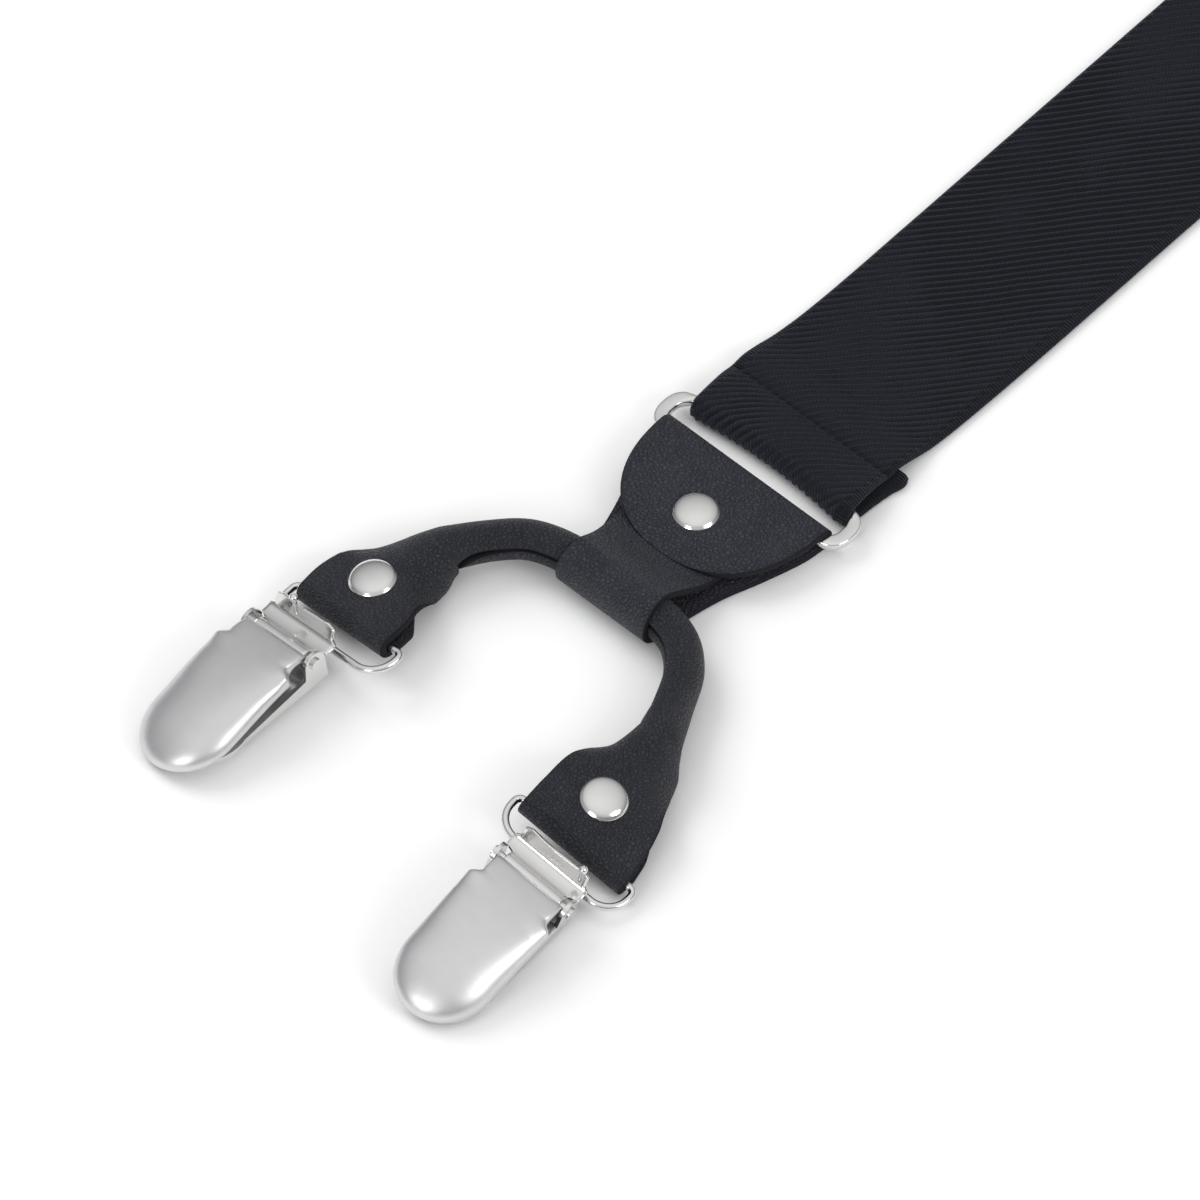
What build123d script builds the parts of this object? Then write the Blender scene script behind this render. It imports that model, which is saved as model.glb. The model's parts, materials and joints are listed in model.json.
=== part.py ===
from build123d import *
from math import cos, radians, sin, sqrt
import os

os.makedirs("parts", exist_ok=True)

# A Y-back pair of suspenders laid flat, in millimetres. The origin is the centre of the back
# patch's underside, +Y runs towards the two front straps and +Z is up. Each strap ends in the
# same leather end with two clips. An end is modelled in its own frame: the origin lies on the
# surface under the yoke's fold, +Y points up the strap and the clips point along -Y.

# Webbing
web_width = 35.0
web_thickness = 1.5
back_length = 180.0
front_length = 740.0
front_angle = 16.0
seam_from_fold = 12.0
tail_past_seam = 3.5
front_join = 22.0
front_tail_past_adjuster = 26.0
tail_overlap = 1.0
tail_step = 8.0
end_gap = 0.3
middle_gap = 0.1
front_cover = 62.0
back_cover = 30.0
patch_rise = 9.0
patch_gap = 5.0
adjuster_from_yoke = 150.0
adjuster_lift = 0.9

# Leather
leather = 1.4
patch_leather = 1.2
yoke_width = 35.6
flap_depth = 22.0
neck_width = 17.5
cord_radius = 3.2
roll_y = -33.3
rivet_y = -13.0
neck_from = -27.0
grip_y = -15.0
grip_length = 17.0
waist_half = 12.6
waist_y = -17.5
ear_width = 22.4
ear_rivet_y = 8.0
ear_straight = 5.5
ear_draw = 3.2
ear_lean = 0.35
ear_bend = 8.5
cord_clearance = 0.08
cord_root = 5.0
cord_bend = 14.0

# Back patch: half widths and heights of its foot, waist and shoulders, and the notch between these
patch_foot = (21.5, -30.0)
patch_waist = (27.0, 5.0)
patch_shoulder = (45.0, 58.0)
patch_notch = 48.0
patch_corner = 4.0

# Rivets
shank_radius = 1.5
washer_seat = 3.7
washer_height = 0.5

# Ring between the webbing and the yoke
bar_radius = 1.0
bar_clearance = 0.06
ring_length = 42.4
ring_strip = 2.8
ring_thickness = 1.8
ring_corner = 5.0
ring_edge = 0.35
bar_root = 0.2
fold_gap = 2.7

# D-ring between an ear and its clip
wire_radius = 0.7
wire_clearance = 0.05
d_ring_width = 26.5
d_ring_depth = 6.4
d_ring_bar_corner = 1.1
d_ring_bow_corner = 4.5

# Clip
sheet = 0.7
jaw_half = 7.9
jaw_reach = 27.5
jaw_wall = 17.0
jaw_rear = -3.4
tail_half = 3.5
tail_root = -2.2
curl_opening = 0.4
tooth_pitch = 1.7
tooth_half = 0.8
tooth_height = 0.3
dome_half = 8.65
dome_reach = 30.5
dome_crown = 5.0
dome_tilt = 7.0
dome_nose = 9.5
dome_rear = 4.6
dome_rim = 1.4
dome_hollow_rim = 1.0
bridge_half = 6.9
bridge_front = -5.6
bridge_top = 3.5
lever_half = 6.0
lever_hub = 1.45
lever_low = -1.0
lip_y = 4.55
lip_height = 3.9
stud_ball = 0.8
stud_height = 4.9
pin_radius = 0.8
pin_clearance = 0.06
pin_y = -5.5
pin_z = 2.8
pin_head = 0.5
pin_flange = 0.3
lug_radius = 2.2

# Adjuster
adjuster_sheet = 0.8
adjuster_wall = 1.0
adjuster_half_length = 12.0
gate_hinge_y = 10.0
gate_rise = 1.1
gate_length = 21.0
gate_thickness = 1.1
gate_play = 0.2
gate_pin = 0.8

# Worked out from those
bore_radius = bar_radius + bar_clearance
yoke_fold_radius = bore_radius + leather
web_fold_radius = bore_radius + web_thickness
ring_z = web_fold_radius
yoke_bar_y = -yoke_fold_radius
web_bar_y = fold_gap + web_fold_radius
ring_y = (yoke_bar_y + web_bar_y) / 2
bar_spacing = web_bar_y - yoke_bar_y
seam_y = fold_gap + seam_from_fold
tail_y = seam_y + tail_past_seam
yoke_floor = ring_z - yoke_fold_radius
roll_radius = cord_radius + cord_clearance + leather
roll_z = roll_radius + yoke_floor
wire_bore = wire_radius + wire_clearance
ear_fold_radius = wire_bore + leather
curl_radius = wire_radius + 0.25 + sheet
hub_bore = pin_radius + pin_clearance


def turned(x=0.0, y=0.0, z=0.0):
    """A turn about the local X, Y or Z axis, in degrees."""
    return Location((0, 0, 0), (x, y, z))


def side_place(x, y, z, yaw, roll, pitch):
    """The frame of an ear and its clip: the origin is on the D-ring's bar, -Y points at the tip."""
    return Location((x, y, z)) * turned(z=yaw) * turned(y=roll) * turned(x=pitch)


class Side:
    """One arm of an end: where its D-ring lies, and how its leather and clip sit on it."""

    def __init__(self, place, neck_x, neck_y, clip_x, stud_x):
        self.place = place
        self.neck_x = neck_x
        self.neck_y = neck_y
        self.clip = place * Location((clip_x, -d_ring_depth, 0))
        self.stud_x = stud_x


first_side = Side(side_place(-27.8, -67.9, 4.81, -3.3, -9.0, 2.5), 2.4, 21.5, -3.2, -1.8)
second_side = Side(side_place(30.9, -76.6, 4.78, 3.3, 13.0, 2.5), -4.0, 25.0, -0.2, 5.6)


def end_place(heading, length):
    """The frame of a strap's end. The strap runs out from the patch at heading, from +Y to +X."""
    out_x = sin(radians(heading))
    out_y = cos(radians(heading))
    return Plane(origin=(out_x * length, out_y * length, 0), x_dir=(-out_y, out_x, 0), z_dir=(0, 0, 1))


ends = {
    "back": (end_place(180.0, back_length), ("left", "right")),
    "left_front": (end_place(-front_angle, front_length), ("inner", "outer")),
    "right_front": (end_place(front_angle, front_length), ("outer", "inner")),
}


def keep(piece, node):
    piece.label = node
    export_step(piece, f"parts/{node}.step")


# ---- Webbing ----

def strap(end, length, cover, doubled):
    """Webbing folded round the ring's bar. A doubled strap returns under itself to the adjuster."""
    profile_plane = Plane(origin=end.origin, x_dir=end.y_dir, z_dir=end.x_dir)
    lift = adjuster_lift if doubled else 0.0
    join_y = front_join if doubled else seam_y
    tail_end = adjuster_from_yoke + front_tail_past_adjuster if doubled else tail_y
    flat_y = tail_end + tail_overlap + tail_step
    end_y = length - end_gap
    low_top = lift + web_thickness
    high_top = lift + 2 * web_thickness
    buried_y = length - cover
    rise_y = buried_y - patch_rise
    with BuildPart() as web:
        with BuildSketch(profile_plane):
            with Locations((web_bar_y, ring_z)):
                Circle(web_fold_radius)
                Circle(bore_radius, mode=Mode.SUBTRACT)
            with Locations((web_bar_y + web_fold_radius, ring_z)):
                Rectangle(2 * web_fold_radius, 3 * web_fold_radius, mode=Mode.SUBTRACT)
            with BuildLine():
                Polyline(
                    (web_bar_y, 0),
                    (join_y, lift),
                    (tail_end, lift),
                    (tail_end, low_top),
                    (join_y, low_top),
                    (web_bar_y, web_thickness),
                    close=True,
                )
            make_face()
            with BuildLine():
                Polyline(
                    (web_bar_y, ring_z + web_fold_radius),
                    (web_bar_y, ring_z + bore_radius),
                    (join_y, low_top),
                    (tail_end + tail_overlap, low_top),
                    (flat_y, 0),
                    (rise_y, 0),
                    (buried_y, patch_leather),
                    (end_y, patch_leather),
                    (end_y, patch_leather + web_thickness),
                    (buried_y, patch_leather + web_thickness),
                    (rise_y, web_thickness),
                    (flat_y, web_thickness),
                    (tail_end + tail_overlap, high_top),
                    (join_y, high_top),
                    close=True,
                )
            make_face()
        extrude(amount=web_width / 2, both=True)
        if doubled:
            # The two front straps meet along the patch's middle line, and the run lies flat past the tail
            on_right = end.origin.X > 0
            split(bisect_by=Plane.YZ.offset(middle_gap if on_right else -middle_gap),
                  keep=Keep.TOP if on_right else Keep.BOTTOM)
            flat_from = end.from_local_coords((0, flat_y, 0))
            split(bisect_by=Plane(origin=flat_from, z_dir=end.y_dir), keep=Keep.BOTH)
    return web.part


# The back strap stops short of the front straps inside the patch
keep(strap(ends["back"][0], back_length - patch_gap, back_cover, False), "back_strap")
keep(strap(ends["left_front"][0], front_length, front_cover, True), "left_front_strap")
keep(strap(ends["right_front"][0], front_length, front_cover, True), "right_front_strap")


# ---- Back patch, a leather shield on each side of the joined straps ----

def mirrored(point):
    """The same point on the other side of the Y axis."""
    return (-point[0], point[1])


with BuildSketch() as shield:
    with BuildLine():
        lower = Line(mirrored(patch_foot), patch_foot)
        right = ThreePointArc(lower @ 1, patch_waist, patch_shoulder)
        upper = ThreePointArc(right @ 1, (0, patch_notch), mirrored(patch_shoulder))
        ThreePointArc(upper @ 1, mirrored(patch_waist), lower @ 0)
    make_face()

for node, height in (("patch_lining", 0.0), ("patch_face", patch_leather + web_thickness)):
    with BuildPart() as patch:
        with BuildSketch(Plane.XY.offset(height)):
            add(shield.sketch)
        extrude(amount=patch_leather)
        fillet(patch.edges().filter_by(Axis.Z), patch_corner)
    keep(patch.part, node)


# ---- Ring: round bars inside the folds, flat rounded ends that show beside them ----

ring_width = bar_spacing + ring_strip
bar_half = ring_length / 2 - ring_strip - 0.25

with BuildPart() as ring:
    with BuildSketch(Plane.XY.offset(-ring_thickness / 2)):
        RectangleRounded(ring_length, ring_width, ring_corner)
        RectangleRounded(ring_length - 2 * ring_strip, ring_width - 2 * ring_strip,
                         ring_corner - ring_strip + 0.1, mode=Mode.SUBTRACT)
    extrude(amount=ring_thickness)
    chamfer(ring.edges().filter_by(Plane.XY), ring_edge)
    Box(2 * bar_half, ring_width + 1, ring_thickness + 1, mode=Mode.SUBTRACT)
    with BuildSketch(Plane.YZ.offset(-bar_half - bar_root)):
        with Locations((-bar_spacing / 2, 0), (bar_spacing / 2, 0)):
            Circle(bar_radius)
    extrude(amount=2 * (bar_half + bar_root))


# ---- Yoke: one strip of leather, from the flap round the ring, down and round the rolled strap ----

flap_low = ring_z + bore_radius
flap_top = flap_low + leather

with BuildPart() as yoke:
    # Fold round the ring's bar, and the layers behind it
    with BuildSketch(Plane.YZ.offset(-yoke_width / 2)):
        with Locations((yoke_bar_y, ring_z)):
            Circle(yoke_fold_radius)
        with Locations((yoke_bar_y - yoke_fold_radius, ring_z)):
            Rectangle(2 * yoke_fold_radius, 3 * yoke_fold_radius, mode=Mode.SUBTRACT)
    extrude(amount=yoke_width)
    # Flap, a half disc
    with BuildSketch(Plane.XY.offset(flap_low)):
        with BuildLine():
            chord = Line((-yoke_width / 2, yoke_bar_y), (yoke_width / 2, yoke_bar_y))
            ThreePointArc(chord @ 1, (0, -flap_depth), chord @ 0)
        make_face()
    extrude(amount=leather)
    # Lower layer, drawn in to the neck
    with BuildSketch(Plane.XY.offset(yoke_floor)):
        with BuildLine():
            across = Line((-yoke_width / 2, yoke_bar_y), (yoke_width / 2, yoke_bar_y))
            right_curve = ThreePointArc(across @ 1, (waist_half, waist_y), (neck_width / 2, neck_from))
            neck_end = Polyline(right_curve @ 1, (neck_width / 2, roll_y), (-neck_width / 2, roll_y),
                                (-neck_width / 2, neck_from))
            ThreePointArc(neck_end @ 1, (-waist_half, waist_y), across @ 0)
        make_face()
    extrude(amount=leather)
    # Middle layer, the strip's end gripped under the flap
    with BuildSketch(Plane.XY.offset(yoke_floor)):
        with Locations((0, grip_y)):
            Rectangle(neck_width, grip_length)
    extrude(amount=flap_low - yoke_floor)
    # Neck, rolled round the strap
    with BuildSketch(Plane.YZ.offset(-neck_width / 2)):
        with Locations((roll_y, roll_z)):
            Circle(roll_radius)
        with Locations((-20.0, (flap_low + yoke_floor) / 2)):
            Rectangle(1.0, flap_low - yoke_floor)
        make_hull()
    extrude(amount=neck_width)
    with BuildSketch(Plane.YZ.offset(-neck_width / 2)):
        with Locations((roll_y, roll_z)):
            Circle(cord_radius + cord_clearance)
        with Locations((-23.5, 2.2)):
            Circle(0.3)
        make_hull()
    extrude(amount=neck_width, mode=Mode.SUBTRACT)
    with BuildSketch(Plane.YZ.offset(-yoke_width / 2)):
        with Locations((yoke_bar_y, ring_z)):
            Circle(bore_radius)
    extrude(amount=yoke_width, mode=Mode.SUBTRACT)
    # Rivet hole, with a seat for its washer underneath
    with BuildSketch(Plane.XY):
        with Locations((0, rivet_y)):
            Circle(shank_radius)
    extrude(amount=flap_top + 1, mode=Mode.SUBTRACT)
    with BuildSketch(Plane.XY):
        with Locations((0, rivet_y)):
            Circle(washer_seat)
    extrude(amount=yoke_floor + washer_height, mode=Mode.SUBTRACT)


def rivet(cap_radius, cap_height, shank_low, shank_high, washer_radius):
    """A domed cap on a shank, clenched on a thin washer underneath."""
    ball = (cap_radius**2 + cap_height**2) / (2 * cap_height)
    with BuildPart() as body:
        with BuildSketch(Plane.XZ):
            with BuildLine():
                Polyline((0, shank_low - washer_height), (washer_radius, shank_low - washer_height),
                         (washer_radius, shank_low), (shank_radius, shank_low), (shank_radius, shank_high),
                         (cap_radius, shank_high))
                ThreePointArc((cap_radius, shank_high),
                              (cap_radius / 2, shank_high + cap_height - ball
                               + sqrt(ball**2 - cap_radius**2 / 4)),
                              (0, shank_high + cap_height))
                Line((0, shank_high + cap_height), (0, shank_low - washer_height))
            make_face()
        revolve(axis=Axis.Z)
    return body.part


yoke_rivet = rivet(4.0, 1.3, yoke_floor + washer_height, flap_top, 3.6)


# ---- Rolled strap: a round leather cord through the neck, flattened into an ear at each end ----

def neck_of(side):
    """Where the cord comes out of an ear, in the end's frame."""
    return (side.place * Location((side.neck_x, side.neck_y, 0))).position


def ear(side):
    """A leather tab folded round the D-ring's bar, in the side's own frame."""
    half = ear_width / 2
    lean = ear_lean * side.neck_x
    bend_y = side.neck_y - ear_bend
    with BuildPart() as tab:
        with BuildSketch(Plane.XY.offset(-ear_fold_radius)):
            with BuildLine():
                base = Line((-half, 0), (half, 0))
                right = Line(base @ 1, (half, ear_straight))
                bend = ThreePointArc(right @ 1, (lean + half - ear_draw, bend_y),
                                     (side.neck_x + cord_radius, side.neck_y))
                top = Line(bend @ 1, (side.neck_x - cord_radius, side.neck_y))
                ThreePointArc(top @ 1, (lean - half + ear_draw, bend_y), (-half, ear_straight))
                Line((-half, ear_straight), base @ 0)
            make_face()
        extrude(amount=2 * ear_fold_radius)
        with BuildSketch(Plane.YZ.offset(-half)):
            Circle(ear_fold_radius)
        extrude(amount=ear_width)
        with BuildSketch(Plane.YZ.offset(-half)):
            Circle(wire_bore)
        extrude(amount=ear_width, mode=Mode.SUBTRACT)
        with BuildSketch(Plane.XY.offset(-ear_fold_radius)):
            with Locations((0, ear_rivet_y)):
                Circle(shank_radius)
        extrude(amount=2 * ear_fold_radius, mode=Mode.SUBTRACT)
    return tab.part.moved(side.place)


cord_start = neck_of(first_side)
cord_finish = neck_of(second_side)
cord_plane = Plane.XY.offset(roll_z)

with BuildPart() as rolled_strap:
    with BuildLine(cord_plane) as route:
        FilletPolyline(
            (cord_start.X, cord_start.Y - cord_root),
            (cord_start.X + 0.8, roll_y),
            (cord_finish.X - 2.6, roll_y),
            (cord_finish.X, cord_finish.Y - cord_root),
            radius=cord_bend,
        )
    with BuildSketch(Plane(origin=route.line @ 0, z_dir=route.line % 0)):
        Circle(cord_radius)
    sweep()
    add(ear(first_side))
    add(ear(second_side))

ear_rivet = rivet(4.15, 1.4, -ear_fold_radius, ear_fold_radius, 3.4)
ear_rivets = Compound(children=[
    ear_rivet.moved(side.place * Location((0, ear_rivet_y, 0))) for side in (first_side, second_side)
])


# ---- D-ring ----

d_half = d_ring_width / 2 - wire_radius

with BuildPart() as d_ring:
    with BuildLine() as d_route:
        FilletPolyline(
            (d_half, 0),
            (d_half, -d_ring_depth),
            (-d_half, -d_ring_depth),
            (-d_half, 0),
            radius=(d_ring_bar_corner, d_ring_bow_corner, d_ring_bow_corner, d_ring_bar_corner),
            close=True,
        )
    with BuildSketch(Plane(origin=d_route.wires()[0] @ 0, z_dir=d_route.wires()[0] % 0)):
        Circle(wire_radius)
    sweep()


# ---- Clip, in a frame on the D-ring's bow: the tip points along -Y ----

wall_end = pin_y - jaw_wall

with BuildPart() as jaw_base:
    # Plate, narrowed to the tail and rounded at the tip
    with BuildSketch(Plane.XY.offset(-curl_radius)):
        with BuildLine():
            rear = Polyline((-tail_half, 0), (tail_half, 0), (tail_half, tail_root), (jaw_half, jaw_rear),
                            (jaw_half, wall_end))
            ThreePointArc(rear @ 1, (0, pin_y - jaw_reach), (-jaw_half, wall_end))
            Polyline((-jaw_half, wall_end), (-jaw_half, jaw_rear), (-tail_half, tail_root), (-tail_half, 0))
        make_face()
    extrude(amount=sheet)
    # Tail curled round the bow
    with BuildSketch(Plane.YZ.offset(-tail_half)):
        Circle(curl_radius)
        Circle(curl_radius - sheet, mode=Mode.SUBTRACT)
        with Locations((-curl_radius, 0)):
            Rectangle(2 * curl_radius - curl_opening, 2 * curl_radius - 2 * sheet, mode=Mode.SUBTRACT)
        with Locations((-curl_radius - curl_opening / 2, curl_radius / 2)):
            Rectangle(2 * curl_radius - curl_opening, curl_radius, mode=Mode.SUBTRACT)
    extrude(amount=2 * tail_half)
    # Side walls with the lugs that hold the pin
    for wall_x in (-jaw_half, jaw_half - sheet):
        with BuildSketch(Plane.YZ.offset(wall_x)):
            with BuildLine():
                Polyline((jaw_rear, -curl_radius), (pin_y + lug_radius, pin_z), (pin_y - lug_radius, pin_z),
                         (pin_y - lug_radius - 0.4, 0.6), (wall_end, -curl_radius + sheet),
                         (wall_end, -curl_radius), close=True)
            make_face()
            with Locations((pin_y, pin_z)):
                Circle(lug_radius)
                Circle(pin_radius, mode=Mode.SUBTRACT)
        extrude(amount=sheet)
    # Teeth across the tip
    with BuildSketch(Plane.XY.offset(-curl_radius + sheet)):
        with GridLocations(tooth_pitch, 1, 5, 1):
            with Locations((0, pin_y - jaw_reach + 2.6)):
                Polygon((0.1 - tooth_half, -tooth_half), (tooth_half - 0.1, -tooth_half), (0, tooth_half))
    extrude(amount=tooth_height)

with BuildPart() as pin:
    with BuildSketch(Plane.XY):
        with BuildLine():
            Polyline((0, 0), (jaw_half + pin_head, 0), (jaw_half + pin_head, pin_radius + pin_flange),
                     (jaw_half, pin_radius + pin_flange), (jaw_half, pin_radius), (0, pin_radius), close=True)
        make_face()
    revolve(axis=Axis.X)
    mirror(about=Plane.YZ)


def crowned_block(half, crown, reach, rim):
    """The solid under a dome: its plan, its cross section and its side view, cut through each other."""
    straight = reach - dome_nose - dome_rear
    with BuildPart() as block:
        with BuildSketch(Plane.XY):
            with Locations((0, -dome_rear - straight / 2)):
                Rectangle(2 * half, straight)
            with Locations((0, -reach + dome_nose)):
                Ellipse(half, dome_nose)
        extrude(amount=crown + 1)
        with BuildSketch(Plane.XZ.offset(-1)):
            with BuildLine():
                sill = Polyline((-half, rim), (-half, 0), (half, 0), (half, rim))
                ThreePointArc(sill @ 1, (0, crown), sill @ 0)
            make_face()
        extrude(amount=reach + 2, mode=Mode.INTERSECT)
        with BuildSketch(Plane.YZ):
            with BuildLine():
                foot = Polyline((-4.0, crown - 1.9), (-4.0, 0), (-reach, 0), (-reach, rim * 0.7))
                ThreePointArc(foot @ 1, (-16.0, crown), foot @ 0)
            make_face()
        extrude(amount=half + 1, both=True, mode=Mode.INTERSECT)
    return block.part


dome_hollow = crowned_block(dome_half - sheet, dome_crown - sheet, dome_reach - sheet, dome_hollow_rim)

with BuildPart() as jaw_dome:
    add(crowned_block(dome_half, dome_crown, dome_reach, dome_rim))
    add(dome_hollow, mode=Mode.SUBTRACT)
    # Bridge over the pin, and the lugs that turn on it
    with BuildSketch(Plane.YZ.offset(-bridge_half)):
        with BuildLine():
            Polyline((bridge_front, 1.7), (-0.5, 1.7), (-0.5, 2.4), (bridge_front, bridge_top), close=True)
        make_face()
    extrude(amount=2 * bridge_half)
    for lug_x in (-bridge_half, bridge_half - sheet):
        with BuildSketch(Plane.YZ.offset(lug_x)):
            with BuildLine():
                Polyline((bridge_front, 0), (0, -1.6), (0, 1.9), (bridge_front, bridge_top), close=True)
            make_face()
            Circle(1.6)
            Circle(hub_bore, mode=Mode.SUBTRACT)
        extrude(amount=sheet)

with BuildPart() as lever:
    with BuildSketch(Plane.YZ.offset(-lever_half)):
        Circle(lever_hub)
    extrude(amount=2 * lever_half)
    with BuildSketch(Plane.XY.offset(lever_low)):
        with Locations((0, 2.4)):
            Rectangle(2 * lever_half, 5.0)
        with Locations((0, 3.75)):
            Rectangle(16.0, 2.3)
    extrude(amount=sheet)
    with BuildSketch(Plane.XY.offset(lever_low)):
        with Locations((0, lip_y)):
            Rectangle(13.0, sheet)
    extrude(amount=lip_height)
    with BuildSketch(Plane.YZ.offset(-lever_half)):
        Circle(hub_bore)
    extrude(amount=2 * lever_half, mode=Mode.SUBTRACT)

with BuildPart() as stud:
    with BuildSketch(Plane.XY.offset(lever_low)):
        Circle(stud_ball / 2)
    extrude(amount=stud_height - lever_low - 0.5)
    with Locations((0, 0, stud_height)):
        Sphere(stud_ball)


# ---- Adjuster on a front strap, in a frame on the surface under its centre ----

inside_half = web_width / 2 + 0.25
web_top = adjuster_lift + 2 * web_thickness
gate_hinge = (gate_hinge_y, web_top + gate_rise)
hinge_top = web_top + gate_rise
wall_top = web_top - 1.2

with BuildPart() as adjuster_frame:
    Box(2 * (inside_half + adjuster_wall), 2 * adjuster_half_length, adjuster_sheet,
        align=(Align.CENTER, Align.CENTER, Align.MIN))
    for wall_x in (-inside_half - adjuster_wall, inside_half):
        with BuildSketch(Plane.YZ.offset(wall_x)):
            with BuildLine():
                Polyline((-adjuster_half_length, 0), (adjuster_half_length, 0),
                         (adjuster_half_length, web_top), (gate_hinge_y + 1.6, hinge_top),
                         (gate_hinge_y - 1.6, hinge_top), (gate_hinge_y - 4.0, wall_top),
                         (-adjuster_half_length, wall_top), close=True)
            make_face()
            with Locations(gate_hinge):
                Circle(1.6)
                Circle(gate_pin + 0.05, mode=Mode.SUBTRACT)
        extrude(amount=adjuster_wall)

with BuildPart() as adjuster_gate:
    with BuildSketch(Plane.YZ.offset(-inside_half + gate_play)):
        with Locations(gate_hinge):
            Circle(0.95)
        with Locations((-1.0, web_top + 0.75)):
            Rectangle(gate_length, gate_thickness)
    extrude(amount=2 * (inside_half - gate_play))
    with BuildSketch(Plane.YZ.offset(-inside_half - adjuster_wall)):
        with Locations(gate_hinge):
            Circle(gate_pin)
    extrude(amount=2 * (inside_half + adjuster_wall))


# ---- Put the pieces where they lie, and write them ----

pin_place = Location((0, pin_y, pin_z))
stud_y = lip_y + sheet / 2 + stud_ball / 2

for end_name, (end, side_names) in ends.items():
    here = end.location
    keep(ring.part.moved(here * Location((0, ring_y, ring_z))), f"{end_name}_ring")
    keep(yoke.part.moved(here), f"{end_name}_yoke")
    keep(yoke_rivet.moved(here * Location((0, rivet_y, 0))), f"{end_name}_yoke_rivet")
    keep(rolled_strap.part.moved(here), f"{end_name}_rolled_strap")
    keep(ear_rivets.moved(here), f"{end_name}_ear_rivets")
    for side, side_name in zip((first_side, second_side), side_names):
        clip_name = f"{end_name}_{side_name}"
        at_clip = here * side.clip
        at_pin = at_clip * pin_place
        keep(d_ring.part.moved(here * side.place), f"{clip_name}_d_ring")
        keep(jaw_base.part.moved(at_clip), f"{clip_name}_jaw_base")
        keep(pin.part.moved(at_pin), f"{clip_name}_pin")
        keep(jaw_dome.part.moved(at_pin * turned(x=dome_tilt)), f"{clip_name}_jaw_dome")
        keep(lever.part.moved(at_pin), f"{clip_name}_lever")
        keep(stud.part.moved(at_pin * Location((side.stud_x, stud_y, 0))), f"{clip_name}_stud")
    if end_name != "back":
        at_adjuster = here * Location((0, adjuster_from_yoke, 0))
        keep(adjuster_frame.part.moved(at_adjuster), f"{end_name}_adjuster_frame")
        keep(adjuster_gate.part.moved(at_adjuster), f"{end_name}_adjuster_gate")
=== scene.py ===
import json
from math import cos, pi, radians, sin, sqrt

import bmesh
import bpy
import numpy as np
from mathutils import Matrix, Vector


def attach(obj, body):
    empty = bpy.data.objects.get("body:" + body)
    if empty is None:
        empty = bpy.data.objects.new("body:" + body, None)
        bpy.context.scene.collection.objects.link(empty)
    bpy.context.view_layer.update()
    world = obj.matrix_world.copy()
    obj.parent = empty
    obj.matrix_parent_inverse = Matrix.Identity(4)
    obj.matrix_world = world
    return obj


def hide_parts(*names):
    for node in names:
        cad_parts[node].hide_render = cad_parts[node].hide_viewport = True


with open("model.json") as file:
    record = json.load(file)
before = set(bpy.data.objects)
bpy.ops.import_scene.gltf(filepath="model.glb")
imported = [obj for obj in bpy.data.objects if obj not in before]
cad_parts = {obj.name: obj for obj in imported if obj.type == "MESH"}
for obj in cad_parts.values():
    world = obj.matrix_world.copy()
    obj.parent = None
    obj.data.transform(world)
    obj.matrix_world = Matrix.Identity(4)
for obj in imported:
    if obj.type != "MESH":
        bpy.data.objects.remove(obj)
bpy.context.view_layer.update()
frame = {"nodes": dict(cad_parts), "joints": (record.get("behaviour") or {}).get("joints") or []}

scene = bpy.context.scene
joints = {joint["name"]: joint for joint in frame["joints"]}
mm = 0.001


# Places: every end and every clip has its own frame, read off the joints that it turns on

barHeight = 2.56  # both bars of an end's ring, above the floor
webBar = 5.26  # and along the end: the webbing's bar and the yoke's
yokeBar = -2.46
barClear = 1.06  # from the middle of a ring's bar to the sheet folded round it
bowDepth = 6.4  # D-ring, bar to bow


def frameFrom(origin, xAxis, yHint):
    x = Vector(xAxis).normalized()
    z = x.cross(Vector(yHint)).normalized()
    place = Matrix((x, z.cross(x), z)).transposed().to_4x4()
    place.translation = Vector(origin)
    return place


def endFrame(end):
    swing = joints[end + "_ring_swing"]
    x = -Vector(swing["axis"])
    y = Vector((0, 0, 1)).cross(x)
    return frameFrom(Vector(swing["pos_m"]) - y * webBar * mm - Vector((0, 0, barHeight * mm)), x, y)


def sideFrame(clip):
    link = joints[clip + "_link_swing"]
    toBow = Vector(joints[clip + "_clip_swing"]["pos_m"]) - Vector(link["pos_m"])
    x = Vector(link["axis"]).normalized()
    return frameFrom(link["pos_m"], x, -(toBow - x * toBow.dot(x)))


def pinFrame(clip):
    place = sideFrame(clip)
    place.translation = Vector(joints[clip + "_jaw_open"]["pos_m"])
    return place


ends = {"back": ("left", "right"), "left_front": ("inner", "outer"), "right_front": ("outer", "inner")}


# Shader graphs

class Signal:
    # one output socket, so that maths on it reads as ordinary expressions
    def __init__(self, graph, socket):
        self.graph = graph
        self.socket = socket

    def maths(self, operation, *others):
        inputs = {place: value for place, value in enumerate((self, *others))}
        return self.graph.add("ShaderNodeMath", {"operation": operation}, inputs)

    def __add__(self, other):
        return self.maths("ADD", other)

    def __sub__(self, other):
        return self.maths("SUBTRACT", other)

    def __rsub__(self, other):
        return self.maths("MULTIPLY_ADD", -1.0, other)

    def __mul__(self, other):
        return self.maths("MULTIPLY", other)

    def __truediv__(self, other):
        return self.maths("DIVIDE", other)

    def __pow__(self, other):
        return self.maths("POWER", other)

    def __gt__(self, other):
        return self.maths("GREATER_THAN", other)

    def __abs__(self):
        return self.maths("ABSOLUTE")

    __radd__ = __add__
    __rmul__ = __mul__

    def sine(self):
        return self.maths("SINE")

    def clipped(self):
        return self.graph.add("ShaderNodeClamp", {}, {0: self})

    def sibling(self, place):
        return Signal(self.graph, self.socket.node.outputs[place])


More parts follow.
